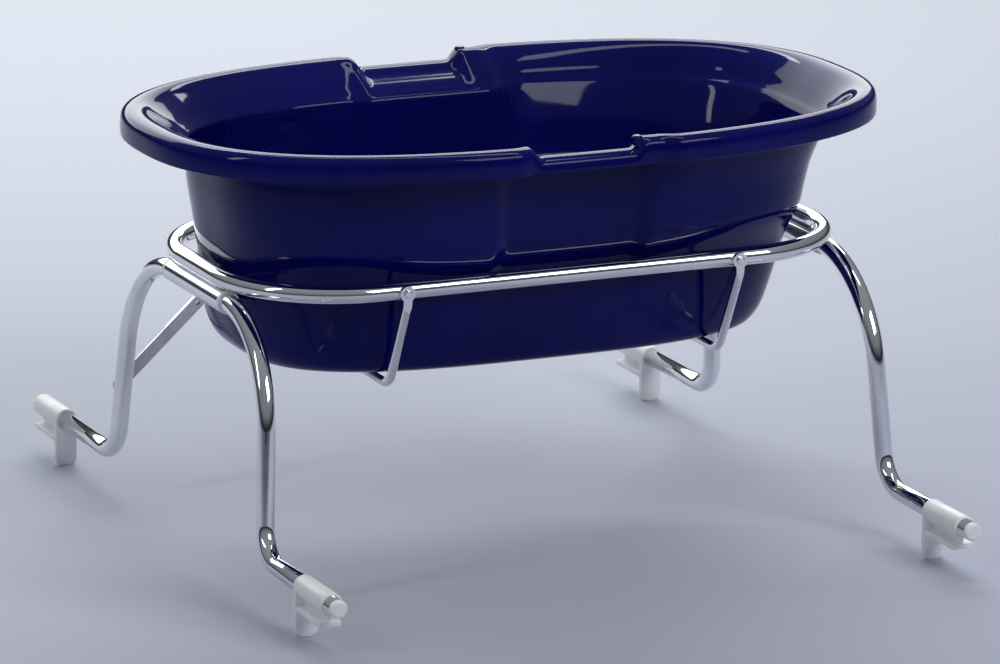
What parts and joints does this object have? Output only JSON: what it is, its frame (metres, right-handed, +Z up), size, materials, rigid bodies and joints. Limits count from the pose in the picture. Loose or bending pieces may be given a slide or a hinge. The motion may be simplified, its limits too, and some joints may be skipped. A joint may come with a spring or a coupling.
{
  "type": "pet bathtub",
  "caption": "Oval moulded washing tub hanging in a folding chrome tube stand whose feet hook over the rims of a household bathtub.",
  "frame": {"origin": "middle of the stand in plan, level with the lower ends of the four hooks", "axes": "+X along the tub, +Y across it with -Y the front, +Z up"},
  "size_m": [0.84, 0.873, 0.478],
  "materials": {
    "tub_plastic": "high gloss dark blue moulded plastic",
    "chrome": "bright chrome plate",
    "white_nylon": "satin white nylon",
    "bright_steel": "zinc plated steel strip",
    "drain_plastic": "pale grey moulded plastic",
    "plug_rubber": "soft black rubber"
  },
  "bodies": {
    "stand_ring": {"support_ring": "chrome", "cradle_rod_rivets": "chrome", "left_hinge_sleeve": "chrome", "left_hinge_bushes": "white_nylon", "left_cradle_rod": "chrome", "left_stay_post": "chrome", "left_post_rivet": "chrome", "right_hinge_sleeve": "chrome", "right_hinge_bushes": "white_nylon", "right_cradle_rod": "chrome", "right_stay_post": "chrome", "right_post_rivet": "chrome"},
    "tub": {"tub_shell": "tub_plastic", "back_rim_lug": "tub_plastic", "front_rim_lug": "tub_plastic", "drain_outlet": "drain_plastic", "drain_nut": "drain_plastic"},
    "plug": {"drain_plug": "plug_rubber"},
    "left_legs": {"left_leg_frame": "chrome", "left_leg_stud": "chrome", "left_front_tube_plug": "white_nylon", "left_back_tube_plug": "white_nylon"},
    "left_upper_link": {"left_upper_stay": "bright_steel", "left_elbow_rivet": "chrome", "left_lock_rivet": "chrome"},
    "left_lower_link": {"left_lower_stay": "bright_steel"},
    "left_front_clip": {"left_front_foot_clip": "white_nylon"},
    "left_back_clip": {"left_back_foot_clip": "white_nylon"},
    "right_legs": {"right_leg_frame": "chrome", "right_leg_stud": "chrome", "right_front_tube_plug": "white_nylon", "right_back_tube_plug": "white_nylon"},
    "right_upper_link": {"right_upper_stay": "bright_steel", "right_elbow_rivet": "chrome", "right_lock_rivet": "chrome"},
    "right_lower_link": {"right_lower_stay": "bright_steel"},
    "right_front_clip": {"right_front_foot_clip": "white_nylon"},
    "right_back_clip": {"right_back_foot_clip": "white_nylon"}
  },
  "joints": [
    {"name": "tub_lift", "type": "slide", "parent": "stand_ring", "child": "tub", "axis": [0, 0, 1], "range_m": [0, 0.26]},
    {"name": "plug_lift", "type": "slide", "parent": "tub", "child": "plug", "axis": [0, 0, 1], "range_m": [0, 0.05]},
    {"name": "left_leg_fold", "type": "hinge", "parent": "stand_ring", "child": "left_legs", "pos_m": [-0.3525, 0, 0.2957], "axis": [0, -1, 0], "range_deg": [0, 86]},
    {"name": "left_upper_stay_turn", "type": "hinge", "parent": "stand_ring", "child": "left_upper_link", "pos_m": [-0.159, 0.2242, 0.318], "axis": [0, 1, 0], "range_deg": [0, 44.7]},
    {"name": "left_lower_stay_turn", "type": "hinge", "parent": "left_legs", "child": "left_lower_link", "pos_m": [-0.36226, 0.2218, 0.13239], "axis": [0, -1, 0], "range_deg": [0, 28.9]},
    {"name": "left_front_clip_slide", "type": "slide", "parent": "left_legs", "child": "left_front_clip", "axis": [0, -1, 0], "range_m": [-0.06, 0.012]},
    {"name": "left_back_clip_slide", "type": "slide", "parent": "left_legs", "child": "left_back_clip", "axis": [0, 1, 0], "range_m": [-0.11, 0.008]},
    {"name": "right_leg_fold", "type": "hinge", "parent": "stand_ring", "child": "right_legs", "pos_m": [0.3525, 0, 0.2957], "axis": [0, 1, 0], "range_deg": [0, 86]},
    {"name": "right_upper_stay_turn", "type": "hinge", "parent": "stand_ring", "child": "right_upper_link", "pos_m": [0.159, 0.2242, 0.318], "axis": [0, -1, 0], "range_deg": [0, 44.7]},
    {"name": "right_lower_stay_turn", "type": "hinge", "parent": "right_legs", "child": "right_lower_link", "pos_m": [0.36226, 0.2218, 0.13239], "axis": [0, 1, 0], "range_deg": [0, 28.9]},
    {"name": "right_front_clip_slide", "type": "slide", "parent": "right_legs", "child": "right_front_clip", "axis": [0, -1, 0], "range_m": [-0.06, 0.012]},
    {"name": "right_back_clip_slide", "type": "slide", "parent": "right_legs", "child": "right_back_clip", "axis": [0, 1, 0], "range_m": [-0.11, 0.008]}
  ],
  "couplings": [
    {"joint": "left_upper_stay_turn", "follows": "left_leg_fold", "ratio": 0.51881},
    {"joint": "left_lower_stay_turn", "follows": "left_leg_fold", "ratio": 0.33492},
    {"joint": "right_upper_stay_turn", "follows": "right_leg_fold", "ratio": 0.51881},
    {"joint": "right_lower_stay_turn", "follows": "right_leg_fold", "ratio": 0.33492}
  ]
}
